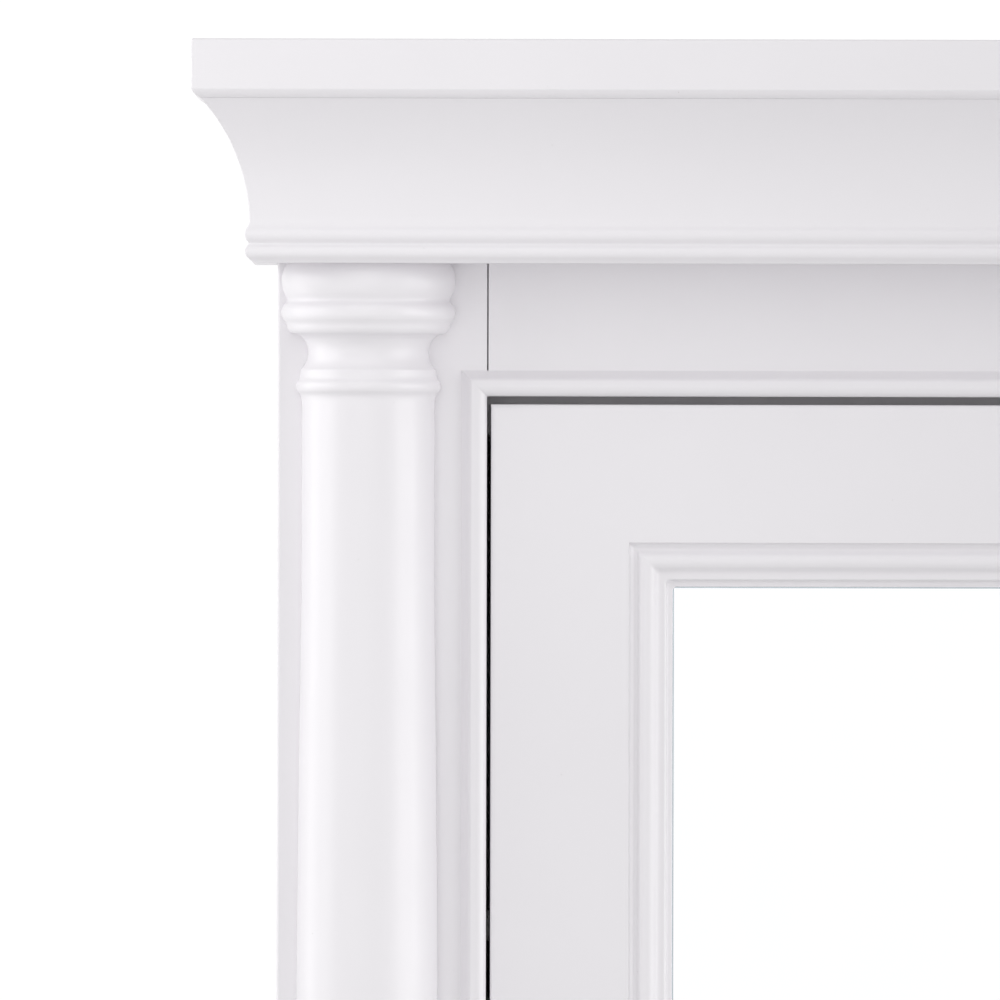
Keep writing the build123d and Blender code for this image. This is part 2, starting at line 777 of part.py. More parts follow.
def door_stile():
    """The left stile, before the hardware of its own side is let in."""
    stile = block((-DOOR_HALF, -DOOR_INSIDE), (FACE_Y, FRAME_BACK_Y), (DOOR_LOW, DOOR_HIGH))
    outer_edge = {"X": -DOOR_HALF, "Y": FACE_Y}
    lower_end = {"Y": FACE_Y, "Z": DOOR_LOW}
    upper_end = {"Y": FACE_Y, "Z": DOOR_HIGH}
    stile = fillet(edges_at(stile, outer_edge, lower_end, upper_end), DOOR_EASING)
    stile -= door_tenon(PANEL_HIGH, DOOR_HIGH)
    stile -= door_tenon(DOOR_LOW, PANEL_LOW)
    return stile


def left_door_stile():
    knob_hole = Rot(90, 0, 0) * Cylinder(KNOB_CLEARANCE_R, FRAME_THICK)
    knob_hole = Pos(KNOB_X, FRAME_MIDDLE_Y, DOOR_MIDDLE) * knob_hole
    return door_stile() - knob_hole - strike_screw()


def right_door_stile():
    stile = other_side(door_stile())
    for each in hinge_mortises(-1) + hinge_screws(-1):
        stile -= each
    return stile


def mirror_mouldings():
    """A cove, a bead, a fillet and a lip that steps down to the glass."""
    profile = outline(
        (0, 0),
        (0, GLASS_DEPTH - 0.5),
        ((1.0, 5.9), (3.3, 5.0)),
        ((6.6, 7.6), (10.8, 4.5)),
        (13.9, 4.5),
        ((14.5, 3.4), (14.2, 1.9)),
        (MOULDING_WIDTH, 1.7),
        (MOULDING_WIDTH, 0),
    )
    return four_sided(profile, MOULDING_WIDTH, DOOR_INSIDE, PANEL_LOW, PANEL_HIGH, GLASS_FRONT_Y)


def glazing(front_y, back_y):
    """A sheet that drops into the door frame with a little clearance all round."""
    half = DOOR_INSIDE - GLASS_CLEARANCE
    heights = (PANEL_LOW + GLASS_CLEARANCE, PANEL_HIGH - GLASS_CLEARANCE)
    return block((-half, half), (front_y, back_y), heights)


def retaining_beads():
    thick = FRAME_BACK_Y - BACKING_BACK_Y
    profile = outline(
        (0, 0),
        (0, thick),
        (RETAINER_WIDTH, thick),
        (RETAINER_WIDTH, 2.0),
        ((RETAINER_WIDTH - 0.6, 0.6), (RETAINER_WIDTH - 2.0, 0)),
    )
    return four_sided(profile, RETAINER_WIDTH, DOOR_INSIDE, PANEL_LOW, PANEL_HIGH, FRAME_BACK_Y)


os.makedirs("parts", exist_ok=True)

side_panel = left_side_panel()
save("left_side_panel", side_panel)
save("right_side_panel", other_side(side_panel))
save("top_panel", case_shelf_panel(TOP_PANEL_LOW, TOP_PANEL_HIGH))
save("bottom_panel", case_shelf_panel(BOTTOM_PANEL_LOW, OPENING_LOW))
save("back_panel", back_panel())
save("upper_hanging_rail", hanging_rail(HANGING_RAIL_HIGH_LOW, TOP_PANEL_HIGH))
save("lower_hanging_rail", hanging_rail(BOTTOM_PANEL_LOW, HANGING_RAIL_LOW_TOP))

save("left_stile", left_frame_stile())
save("right_stile", right_frame_stile())
save("frieze_rail", frame_rail(OPENING_HIGH, CROWN_HIGH))
save("bottom_rail", frame_rail(DECK_TOP, OPENING_LOW))
for where, strip in bead_strips().items():
    save(f"bead_strip_{where}", strip)

left_column, right_column = columns()
save("left_column", left_column)
save("right_column", right_column)
save("column_screws", *column_screws())

crown_front, crown_left, crown_right = crown_mouldings()
cornice_y = FACE_Y - CORNICE_FORWARD
cornice_board_y = (cornice_y, cornice_y + CORNICE_BOARD)
cornice_soffit_y = (cornice_y + CORNICE_BOARD, FACE_Y)
case_x = (-CASE_HALF, CASE_HALF)
save("crown_front", crown_front)
save("crown_left_return", crown_left)
save("crown_right_return", crown_right)
save("cornice_cap", cap_board())
save("cornice_front_board", block(case_x, cornice_board_y, (CROWN_LOW, CROWN_HIGH)))
save("cornice_soffit", block(case_x, cornice_soffit_y, (CROWN_LOW, CROWN_LOW + SOFFIT_THICK)))
save("cornice_end_blocks", *cornice_end_blocks())

save("base_board", base_board())
save("base_deck", base_deck())
save("base_screws", *base_screws())

save("upper_shelf", shelf(SHELF_UNDERSIDES[1]))
save("lower_shelf", shelf(SHELF_UNDERSIDES[0]))
save("shelf_pins", *shelf_pins())
save("door_stop_strip", door_stop_strip())
save("door_bumpers", *door_bumpers())

save("magnetic_catch_housing", catch_housing())
save("catch_magnet", catch_magnet())
save("catch_screws", *catch_screws())
save("catch_strike_plate", strike_plate())
save("strike_screw", strike_screw())

save("door_left_stile", left_door_stile())
save("door_right_stile", right_door_stile())
save("door_top_rail", door_rail(PANEL_HIGH, DOOR_HIGH, DOOR_HIGH))
save("door_bottom_rail", door_rail(DOOR_LOW, PANEL_LOW, DOOR_LOW))
for where, strip in mirror_mouldings().items():
    save(f"mirror_moulding_{where}", strip)
save("mirror_glass", glazing(GLASS_FRONT_Y, GLASS_BACK_Y))
save("mirror_backing_board", glazing(GLASS_BACK_Y, BACKING_BACK_Y))
save("mirror_retaining_beads", *retaining_beads().values())
save("door_knob", door_knob())
save("knob_screw", knob_screw())

for which, level in HINGE_LEVELS.items():
    save(f"hinge_frame_leaf_{which}", hinge_leaf(1, level, 0, PIN_R))
    save(f"hinge_door_leaf_{which}", hinge_leaf(-1, level, 1, PIN_R + RUNNING_CLEARANCE))
    save(f"hinge_pin_{which}", hinge_pin(level))
save("hinge_frame_screws", *hinge_screws(1))
save("hinge_door_screws", *hinge_screws(-1))
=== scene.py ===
import json
import math

import bmesh
import bpy
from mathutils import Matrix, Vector


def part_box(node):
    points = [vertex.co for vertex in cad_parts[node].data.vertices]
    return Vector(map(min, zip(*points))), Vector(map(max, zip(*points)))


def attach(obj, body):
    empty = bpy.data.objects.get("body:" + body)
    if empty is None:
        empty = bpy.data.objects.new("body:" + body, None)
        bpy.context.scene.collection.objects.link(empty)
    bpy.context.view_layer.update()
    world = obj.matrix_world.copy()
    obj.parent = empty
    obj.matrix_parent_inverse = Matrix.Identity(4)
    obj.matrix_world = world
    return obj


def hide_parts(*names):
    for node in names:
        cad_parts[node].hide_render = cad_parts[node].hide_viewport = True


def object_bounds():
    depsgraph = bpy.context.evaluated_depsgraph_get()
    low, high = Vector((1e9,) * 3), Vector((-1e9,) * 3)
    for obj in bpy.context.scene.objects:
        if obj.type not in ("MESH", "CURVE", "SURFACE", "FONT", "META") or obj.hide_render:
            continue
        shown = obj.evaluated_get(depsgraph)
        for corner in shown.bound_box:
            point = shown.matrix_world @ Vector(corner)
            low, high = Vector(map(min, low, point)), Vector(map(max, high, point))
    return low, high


# The looks of a white painted medicine cabinet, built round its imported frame: metres, +Z up,
# the wall at Y = 0, the cabinet facing -Y. Profiles are drawn in millimetres.

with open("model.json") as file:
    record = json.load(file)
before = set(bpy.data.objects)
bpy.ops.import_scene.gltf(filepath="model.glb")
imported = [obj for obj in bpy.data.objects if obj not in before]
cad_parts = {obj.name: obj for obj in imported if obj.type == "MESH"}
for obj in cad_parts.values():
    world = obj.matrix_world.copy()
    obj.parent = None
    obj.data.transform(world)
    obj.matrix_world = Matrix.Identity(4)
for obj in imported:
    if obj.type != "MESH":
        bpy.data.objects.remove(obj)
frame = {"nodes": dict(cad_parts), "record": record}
cad_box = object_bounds()

MM = 0.001
UP = Vector((0, 0, 1))
DOWN = -UP
RIGHT = Vector((1, 0, 0))
LEFT = -RIGHT
FORWARD = Vector((0, -1, 0))
BACK = -FORWARD

# The photograph: a frame 1000 pixels square, taken straight from the front with a slight roll
PHOTO_PIXELS = 1000
PIXEL = 0.384 * MM
CABINET_CENTRE_PIXEL_X = 985.5
CORNICE_UNDERSIDE_PIXEL_Y = 263.7
CAMERA_ROLL = math.radians(-0.12)
CAMERA_DISTANCE = 16.0
SENSOR = 36.0

# How finely curves are divided: arcs by angle and by millimetres, round corners and turned work by count
ARC_STEP = math.radians(6)
ARC_LENGTH = 1.2
CORNER_STEPS = 4
HALF_TURN_STEPS = 96

# A corner of an outline is crisp past CORNER_TURN, and a mesh is shaded smooth below SMOOTH_BELOW.
# ARRIS rounds upright arrises, and FINE_SOFTENING the corners of small outlines, in millimetres.
CORNER_TURN = math.radians(25)
SMOOTH_BELOW = math.radians(38)
ARRIS = 0.8 * MM
FINE_SOFTENING = 0.2

# Paint: sanding rounds the arrises of a moulding, and coats of paint fill its hollow corners. Its
# outline is cut into steps of this length, this far to each side of a corner, in millimetres.
PAINT_STEP = 0.16
ARRIS_REACH = 0.8
HOLLOW_REACH = 2.6
SANDING_PASSES = 4
PAINT_PASSES = 80

# Mitres: the depth of the groove where two strips meet and half its width, and the shares by which
# paint rounds the inside corners of the door opening's strips and of the mirror moulding
MITRE_GROOVE = 0.22 * MM
MITRE_HAIRLINE = 0.02 * MM
STRIP_FILL = 0.08
MOULDING_FILL = 0.10

# The paint's colour drifts between these
PAINT_DARK = (0.815, 0.796, 0.822)
PAINT_LIGHT = (0.838, 0.820, 0.846)


# Places read from the frame


def low(node):
    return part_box(node)[0]


def high(node):
    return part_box(node)[1]


record = frame["record"]
body_of = {node: body for body, nodes in record["behaviour"]["bodies"].items() for node in nodes}
slot_of = {part["node"]: part["material_slot"] for part in record["subparts"]}

case_half = -low("left_stile").x
face_y = low("left_stile").y
crown_low = low("crown_front").z
door_inside = high("mirror_moulding_top").x


# Outlines


def arc(start, through, end):
    """The points of a circular arc after its start, up to its end."""
    (ax, ay), (bx, by), (cx, cy) = start, through, end
    doubled = 2 * (ax * (by - cy) + bx * (cy - ay) + cx * (ay - by))
    a_square = ax * ax + ay * ay
    b_square = bx * bx + by * by
    c_square = cx * cx + cy * cy
    middle_x = (a_square * (by - cy) + b_square * (cy - ay) + c_square * (ay - by)) / doubled
    middle_y = (a_square * (cx - bx) + b_square * (ax - cx) + c_square * (bx - ax)) / doubled
    radius = math.hypot(ax - middle_x, ay - middle_y)
    first, passing, last = [math.atan2(y - middle_y, x - middle_x) for x, y in (start, through, end)]
    turn = (last - first) % math.tau
    if (passing - first) % math.tau > turn:
        turn -= math.tau
    count = max(2, math.ceil(abs(turn) / ARC_STEP), math.ceil(abs(turn) * radius / ARC_LENGTH))
    points = []
    for step in range(1, count + 1):
        angle = first + turn * step / count
        points.append((middle_x + radius * math.cos(angle), middle_y + radius * math.sin(angle)))
    return points


def trace(start, *steps):
    """Points along an outline. Each step is a corner, or a pair: a point on an arc and the arc's end."""
    points = [start]
    for step in steps:
        if isinstance(step[0], tuple):
            points += arc(points[-1], *step)
        else:
            points.append(step)
    return [Vector(point) for point in points]


def soften(points, reach, closed=True):
    """The same outline with a small round at each crisp corner, within reach of it."""
    softened = []
    for number, corner in enumerate(points):
        if not closed and number in (0, len(points) - 1):
            softened.append(corner)
            continue
        before = points[number - 1]
        after = points[(number + 1) % len(points)]
        arriving = corner - before
        leaving = after - corner
        if arriving.angle(leaving) < CORNER_TURN:
            softened.append(corner)
            continue
        near = min(reach, 0.45 * arriving.length, 0.45 * leaving.length)
        start = corner - arriving.normalized() * near
        end = corner + leaving.normalized() * near
        for step in range(CORNER_STEPS + 1):
            share = step / CORNER_STEPS
            softened.append(start.lerp(corner, share).lerp(corner.lerp(end, share), share))
    return softened


def bend(before, here, after):
    """How far an outline turns at a point, above zero to the left."""
    arriving = here - before
    leaving = after - here
    return math.atan2(arriving.cross(leaving), arriving.dot(leaving))


def divided_at_corners(points, side):
    """The outline with its stretches near crisp corners cut into short steps."""
    corners = []
    for before, here, after in zip(points, points[1:], points[2:]):
        turn = side * bend(before, here, after)
        if abs(turn) > CORNER_TURN:
            corners.append((here, ARRIS_REACH if turn > 0 else HOLLOW_REACH))
    fine = [points[0]]
    for start, end in zip(points, points[1:]):
        near = False
        for corner, reach in corners:
            if min((corner - start).length, (corner - end).length) < reach:
                near = True
        pieces = math.ceil((end - start).length / PAINT_STEP) if near else 1
        fine += [start.lerp(end, piece / pieces) for piece in range(1, pieces + 1)]
    return fine


def painted(points, side=1):
    """The outline once its arrises are sanded and paint fills its hollows.

    The wood is on the left of an outline of side 1, and on the right of one of side -1.
    """
    fine = divided_at_corners(points, side)
    for coat in range(SANDING_PASSES + PAINT_PASSES):
        settled = list(fine)
        for number in range(1, len(fine) - 1):
            before, here, after = fine[number - 1:number + 2]
            if max((here - before).length, (after - here).length) > 2 * PAINT_STEP:
                continue
            if coat < SANDING_PASSES or side * bend(before, here, after) < 0:
                settled[number] = before.lerp(after, 0.5)
        fine = settled
    return fine


# Meshes


def new_piece(name, vertices, faces):
    mesh = bpy.data.meshes.new(name)
    mesh.from_pydata([tuple(vertex) for vertex in vertices], [], faces)
    shape = bmesh.new()
    shape.from_mesh(mesh)
    bmesh.ops.recalc_face_normals(shape, faces=shape.faces)
    shape.to_mesh(mesh)
    shape.free()
    piece = bpy.data.objects.new(name, mesh)
    bpy.context.scene.collection.objects.link(piece)
    return piece


def skin(rings):
    """Faces between equal closed rings of points, and a cap on the first and the last ring."""
    size = len(rings[0])
    vertices = [point for ring in rings for point in ring]
    faces = [tuple(range(size)), tuple(range((len(rings) - 1) * size, len(rings) * size))]
    for ring in range(len(rings) - 1):
        for here in range(size):
            there = (here + 1) % size
            below = ring * size
            above = below + size
            faces.append((below + here, below + there, above + there, above + here))
    return vertices, faces


def joined(name, pieces):
    """Several meshes as one piece; the first pieces are removed."""
    shape = bmesh.new()
    for piece in pieces:
        shape.from_mesh(piece.data)
    mesh = bpy.data.meshes.new(name)
    shape.to_mesh(mesh)
    shape.free()
    for piece in pieces:
        bpy.data.objects.remove(piece)
    whole = bpy.data.objects.new(name, mesh)
    bpy.context.scene.collection.objects.link(whole)
    return whole


def cut(piece, cutters):
    """Takes the cutters out of the piece, and removes them."""
    for cutter in cutters:
        trim = piece.modifiers.new("cut", "BOOLEAN")
        trim.object = cutter
        trim.operation = "DIFFERENCE"
        trim.solver = "EXACT"
    bpy.context.view_layer.update()
    evaluated = piece.evaluated_get(bpy.context.evaluated_depsgraph_get())
    mesh = bpy.data.meshes.new_from_object(evaluated)
    piece.modifiers.clear()
    piece.data = mesh
    for cutter in cutters:
        bpy.data.objects.remove(cutter)
    return piece


def block(name, corner, opposite):
    """A plain box between two corners, to cut with."""
    xs, ys, zs = zip(corner, opposite)
    vertices = [(x, y, z) for x in xs for y in ys for z in zs]
    faces = [(0, 1, 3, 2), (4, 6, 7, 5), (0, 4, 5, 1), (2, 3, 7, 6), (0, 2, 6, 4), (1, 5, 7, 3)]
    return new_piece(name, vertices, faces)


def settle(piece, node, *materials):
    """Gives a piece its shading and its materials, hangs it on its node's body and hides the node it
    stands for.
    """
    mesh = piece.data
    mesh.materials.clear()
    for material in materials:
        mesh.materials.append(material)
    mesh.shade_smooth()
    mesh.set_sharp_from_angle(angle=SMOOTH_BELOW)
    weighting = piece.modifiers.new("weighted normals", "WEIGHTED_NORMAL")
    weighting.keep_sharp = True
    weighting.weight = 90
    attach(piece, body_of[node])
    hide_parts(node)
    return piece


# Straight mouldings

# A section of a bar says how far along it is, the slope of its mitre, how far its outer points are
# drawn in, how far its far edge is sunk, and how much its width is stretched.


def square_end(along):
    return [(along, 0, 0, 0, 1)]


def outside_mitre(tip, side):
    """Sections that round the arris of an outside corner, from the bar to its tip."""
    sections = []
    for degrees in (0, 22.5, 45):
        turn = math.radians(degrees)
        drawn_in = ARRIS * (1 - math.cos(turn))
        short = ARRIS * (math.cos(turn) - math.sin(turn))
        sections.append((tip - side * short, side, drawn_in, 0, 1))
    return sections


def inside_mitre(tip, side, fill, groove):
    """Sections that round an inside corner, most at its far edge, up to the mitre and its groove."""
    sections = []
    for degrees in (0, 11.25, 22.5, 33.75, 45):
        turn = math.radians(degrees)
        slope = -side * (1 + fill * (1 - math.sin(turn)))
        stretch = 1 + fill * (1 - math.cos(turn))
        sections.append((tip, slope, 0, 0, stretch))
    if groove:
        sections[-1] = (tip - side * MITRE_HAIRLINE, slope, 0, groove, stretch)
    return sections


def bar(name, profile, corner, out, up, along, sections):
    """A bar along a direction, its profile drawn as (out, up) in millimetres from its corner."""
    rings = []
    width = max(point.x for point in profile)
    for distance, slope, drawn_in, sunk, stretch in sections:
        ring = []
        for point in profile:
            far = max(point.x / width, 0) ** 3
            outward = max(point.x * MM - drawn_in, min(point.x * MM, 0))
            upward = max(point.y * MM - sunk * far, min(point.y * MM, 0))
            place = corner + out * outward * stretch + up * upward
            ring.append(place + along * (distance + slope * outward))
        rings.append(ring)
    return new_piece(name, *skin(rings))


def four_bars(prefix, profile, half, bottom, top, plane_y, fill=0.0, groove=0.0):
    """Top, bottom, left and right bars round a rectangle, mitred in its corners."""
    bars = {}
    middle = (bottom + top) / 2
    reach = (top - bottom) / 2
    across = [*reversed(inside_mitre(-half, -1, fill, groove)), *inside_mitre(half, 1, fill, groove)]
    upright = [*reversed(inside_mitre(-reach, -1, fill, groove)), *inside_mitre(reach, 1, fill, groove)]
    places = {
        "top": (Vector((0, plane_y, top)), DOWN, RIGHT, across),
        "bottom": (Vector((0, plane_y, bottom)), UP, RIGHT, across),
        "left": (Vector((-half, plane_y, middle)), RIGHT, UP, upright),
        "right": (Vector((half, plane_y, middle)), LEFT, UP, upright),
    }
    for where, (corner, inward, along, sections) in places.items():
        bars[where] = bar(f"{prefix}_{where}", profile, corner, inward, FORWARD, along, sections)
    return bars


# Boards with a moulded edge


def stacked_board(name, edge, half, front_y, bottom):
    """A board whose front and sides follow an edge drawn as (out, up), with eased upright corners."""
    rings = []
    for outward, upward in edge:
        reach = half + outward * MM
        front = front_y - outward * MM
        height = bottom + upward * MM
        ring = [Vector((-reach, 0, height))]
        for side, first in ((-1, 180), (1, 270)):
            for step in range(CORNER_STEPS + 1):
                angle = math.radians(first + 90 * step / CORNER_STEPS)
                centre_x = side * (reach - ARRIS)
                x = centre_x + ARRIS * math.cos(angle)
                y = front + ARRIS + ARRIS * math.sin(angle)
                ring.append(Vector((x, y, height)))
        ring.append(Vector((reach, 0, height)))
        rings.append(ring)
    return new_piece(name, *skin(rings))


# Turned work


def half_turned(name, profile, centre):
    """Half a turned piece, flat at the back: the profile is (radius, height)."""
    rings = []
    for radius, height in profile:
        ring = []
        for step in range(HALF_TURN_STEPS + 1):
            angle = math.pi * (1 + step / HALF_TURN_STEPS)
            offset = Vector((math.cos(angle), math.sin(angle), 0)) * radius * MM
            ring.append(centre + offset + UP * height * MM)
        rings.append(ring)
    return new_piece(name, *skin(rings))


def turned(name, profile, centre, axis, steps):
    """A turned piece about an axis through its centre: the profile is (radius, distance along)."""
    to_axis = axis.to_track_quat("Z", "Y").to_matrix()
    rings = []
    for radius, distance in profile:
        ring = []
        for step in range(steps):
            angle = math.tau * step / steps
            offset = Vector((math.cos(angle) * radius, math.sin(angle) * radius, distance)) * MM
            ring.append(centre + to_axis @ offset)
        rings.append(ring)
    return new_piece(name, *skin(rings))


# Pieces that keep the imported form

WELD = 0.002 * MM
FLAT = math.radians(0.4)
LONG_EDGE = 5 * MM

# The round on the door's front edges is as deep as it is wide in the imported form, and shallower here
DOOR_ROUND = 2.75 * MM
DOOR_ROUND_DEPTH = 0.38
DOOR_FRAME = ("door_left_stile", "door_right_stile", "door_top_rail", "door_bottom_rail")


def islands(node):
    """The boxes of a node's separate solids, as pairs of corners."""
    shape = bmesh.new()
    shape.from_mesh(frame["nodes"][node].data)
    bmesh.ops.remove_doubles(shape, verts=shape.verts, dist=WELD)
    waiting = set(shape.verts)
    boxes = []
    while waiting:
        found = [waiting.pop()]
        for vertex in found:
            for edge in vertex.link_edges:
                other = edge.other_vert(vertex)
                if other in waiting:
                    waiting.remove(other)
                    found.append(other)
        points = [vertex.co for vertex in found]
        lowest = Vector([min(point[axis] for point in points) for axis in range(3)])
        highest = Vector([max(point[axis] for point in points) for axis in range(3)])
        boxes.append((lowest, highest))
    shape.free()
    return sorted(boxes, key=lambda box: tuple(round(value, 5) for value in box[0]))


def flatten_front_round(shape, front_y):
    """Makes the round on the front edges of a piece of the door shallower."""
    for vertex in shape.verts:
        depth = vertex.co.y - front_y
        if depth < DOOR_ROUND:
            vertex.co.y = front_y + depth * DOOR_ROUND_DEPTH


def eased(name, node, ease):
    """A node's own form with whole flat faces and its long edges rounded."""
    shape = bmesh.new()
    shape.from_mesh(frame["nodes"][node].data)
    bmesh.ops.remove_doubles(shape, verts=shape.verts, dist=WELD)
    if node in DOOR_FRAME:
        flatten_front_round(shape, low(node).y)
    bmesh.ops.dissolve_limit(shape, angle_limit=FLAT, verts=shape.verts, edges=shape.edges)
    crisp = [
        edge
        for edge in shape.edges
        if edge.is_manifold and edge.calc_length() > LONG_EDGE and edge.calc_face_angle(0) > SMOOTH_BELOW
    ]
    if ease:
        bmesh.ops.bevel(
            shape,
            geom=crisp,
            offset=ease,
            offset_type="OFFSET",
            segments=3,
            profile=0.5,
            affect="EDGES",
            clamp_overlap=True,
        )
    mesh = bpy.data.meshes.new(name)
    shape.to_mesh(mesh)
    shape.free()
    normals = mesh.attributes.get("custom_normal")
    if normals:
        mesh.attributes.remove(normals)
    piece = bpy.data.objects.new(name, mesh)
    bpy.context.scene.collection.objects.link(piece)
    return piece


# Materials


class Finish:
    """A material's nodes, with short ways to make the ones used here."""

    def __init__(self, name, colour, roughness, metallic=0.0):
        self.material = bpy.data.materials.new(name)
        self.material.use_nodes = True
        self.tree = self.material.node_tree
        self.shader = self.tree.nodes["Principled BSDF"]
        self.shader.inputs["Base Color"].default_value = (*colour, 1)
        self.shader.inputs["Roughness"].default_value = roughness
        self.shader.inputs["Metallic"].default_value = metallic
        self.place = self.tree.nodes.new("ShaderNodeTexCoord").outputs["Object"]

    def link(self, source, target):
        self.tree.links.new(source, target)

    def noise(self, scale, detail=2.0, stretch=(1, 1, 1)):
        """Noise of a scale per metre, drawn out along an axis whose stretch is below 1."""
        mapping = self.tree.nodes.new("ShaderNodeMapping")
        mapping.inputs["Scale"].default_value = stretch
        self.link(self.place, mapping.inputs["Vector"])
        node = self.tree.nodes.new("ShaderNodeTexNoise")
        node.inputs["Scale"].default_value = scale
        node.inputs["Detail"].default_value = detail
        self.link(mapping.outputs["Vector"], node.inputs["Vector"])
        return node.outputs["Fac"]

    def specks(self, cells_per_metre, radius):
        """1 on small round specks, and 0 elsewhere."""
        node = self.tree.nodes.new("ShaderNodeTexVoronoi")
        node.inputs["Scale"].default_value = cells_per_metre
        self.link(self.place, node.inputs["Vector"])
        edge = radius * cells_per_metre
        return self.between(node.outputs["Distance"], edge, 0.5 * edge, 0, 1)

    def between(self, value, low_in, high_in, low_out, high_out):
        node = self.tree.nodes.new("ShaderNodeMapRange")
        self.link(value, node.inputs["Value"])
        for socket, number in zip(node.inputs[1:5], (low_in, high_in, low_out, high_out)):
            socket.default_value = number
        return node.outputs["Result"]

    def blend(self, factor, first, second):
        """A colour between two, each a colour or another node's output."""
        node = self.tree.nodes.new("ShaderNodeMix")
        node.data_type = "RGBA"
        self.link(factor, node.inputs["Factor"])
        for socket, colour in ((node.inputs[6], first), (node.inputs[7], second)):
            if isinstance(colour, tuple):
                socket.default_value = (*colour, 1)
            else:
                self.link(colour, socket)
        return node.outputs[2]

    def added(self, first, second):
        node = self.tree.nodes.new("ShaderNodeMath")
        node.operation = "ADD"
        self.link(first, node.inputs[0])
        self.link(second, node.inputs[1])
        return node.outputs[0]

    def relief(self, height):
        """Raises the surface by a height in metres."""
        node = self.tree.nodes.new("ShaderNodeBump")
        node.inputs["Distance"].default_value = 1.0
        self.link(height, node.inputs["Height"])
        self.link(node.outputs["Normal"], self.shader.inputs["Normal"])

    def paint(self, colour):
        self.link(colour, self.shader.inputs["Base Color"])

    def rough(self, value):
        self.link(value, self.shader.inputs["Roughness"])


def white_paint():
    """Satin lacquer: a faint cloud in its tone and sheen, orange peel, and a few specks."""
    finish = Finish("white_paint", (0.82, 0.80, 0.83), 0.38)
    cloud = finish.noise(14, 3)
    tone = finish.blend(cloud, PAINT_DARK, PAINT_LIGHT)
    finish.paint(finish.blend(finish.specks(90, 0.2 * MM), tone, (0.45, 0.43, 0.42)))
    finish.rough(finish.between(finish.noise(40, 4), 0.3, 0.7, 0.33, 0.43))
    waves = finish.between(finish.noise(22, 1), 0, 1, 0, 0.05 * MM)
    peel = finish.between(finish.noise(420, 2), 0, 1, 0, 0.0035 * MM)
    tooth = finish.between(finish.noise(2600, 2), 0, 1, 0, 0.0006 * MM)
    finish.relief(finish.added(finish.added(waves, peel), tooth))
    finish.shader.inputs["Coat Weight"].default_value = 0.12
    finish.shader.inputs["Coat Roughness"].default_value = 0.22
    return finish.material


def mirror():
    """Silvered glass with the faint haze that wiping leaves."""
    finish = Finish("mirror", (0.95, 0.955, 0.955), 0.01, 1.0)
    haze = finish.noise(18, 5, (1, 1, 0.35))
    finish.rough(finish.between(haze, 0.35, 0.8, 0.004, 0.022))
    finish.paint(finish.blend(haze, (0.94, 0.948, 0.95), (0.965, 0.968, 0.968)))
    return finish.material


def painted_lip_reflection():
    """Painted reflection: a darker bluish line round the mirror, standing in for the shaded lip seen in
    the glass.
    """
    finish = Finish("painted_lip_reflection", (0.5, 0.56, 0.6), 0.08, 0.7)
    finish.paint(finish.blend(finish.noise(60, 2), (0.42, 0.49, 0.54), (0.58, 0.64, 0.68)))
    return finish.material


def hardboard():
    """Brown hardboard: pressed fibres and a slight gloss."""
    finish = Finish("backing_board", (0.36, 0.22, 0.12), 0.55)
    fibres = finish.noise(900, 6)
    patches = finish.noise(60, 4)
    brown = finish.blend(patches, (0.30, 0.18, 0.095), (0.40, 0.26, 0.145))
    finish.paint(finish.blend(finish.between(fibres, 0.55, 0.75, 0, 1), brown, (0.22, 0.125, 0.065)))
    finish.rough(finish.between(patches, 0.3, 0.7, 0.48, 0.62))
    finish.relief(finish.between(fibres, 0, 1, 0, 0.03 * MM))
    return finish.material


def metal(name, dark, light, smooth, rough, brushed_along):
    """Plated or ground steel, with fine lines drawn out along one axis."""
    finish = Finish(name, light, rough, 1.0)
    lines = finish.noise(5000, 3, brushed_along)
    stains = finish.noise(150, 4)
    finish.paint(finish.blend(stains, dark, light))
    finish.rough(finish.between(lines, 0.3, 0.7, smooth, rough))
    finish.relief(finish.between(lines, 0, 1, 0, 0.0008 * MM))
    return finish.material


def nickel():
    return metal("nickel", (0.60, 0.575, 0.53), (0.70, 0.675, 0.63), 0.24, 0.34, (1, 1, 0.04))


def screw_steel():
    return metal("screw_steel", (0.58, 0.58, 0.59), (0.72, 0.72, 0.72), 0.28, 0.42, (1, 1, 1))


def catch_steel():
    return metal("catch_steel", (0.42, 0.42, 0.43), (0.56, 0.56, 0.57), 0.30, 0.45, (1, 1, 0.05))


def catch_plastic():
    """White nylon with the fine texture of its mould."""
    finish = Finish("catch_plastic", (0.80, 0.80, 0.78), 0.42)
    finish.paint(finish.blend(finish.noise(80, 3), (0.76, 0.76, 0.735), (0.82, 0.82, 0.80)))
    finish.rough(finish.between(finish.noise(300, 3), 0.3, 0.7, 0.38, 0.5))
    finish.relief(finish.between(finish.noise(1800, 2), 0, 1, 0, 0.004 * MM))
    finish.shader.inputs["Subsurface Weight"].default_value = 0.15
    finish.shader.inputs["Subsurface Radius"].default_value = (0.002, 0.002, 0.002)
    return finish.material


def bumper_rubber():
    """Clear-grey silicone pads that have picked up a little dust."""
    finish = Finish("bumper_rubber", (0.7, 0.7, 0.69), 0.5)
    finish.paint(finish.blend(finish.noise(700, 4), (0.62, 0.62, 0.605), (0.76, 0.76, 0.75)))
    finish.rough(finish.between(finish.noise(900, 3), 0.3, 0.7, 0.42, 0.62))
    finish.relief(finish.between(finish.noise(1500, 2), 0, 1, 0, 0.005 * MM))
    return finish.material


finishes = {
    "white_paint": white_paint(),
    "mirror": mirror(),
    "backing_board": hardboard(),
    "nickel": nickel(),
    "screw_steel": screw_steel(),
    "catch_steel": catch_steel(),
    "catch_plastic": catch_plastic(),
    "bumper_rubber": bumper_rubber(),
}


def finish_of(node):
    return finishes[slot_of[node]]


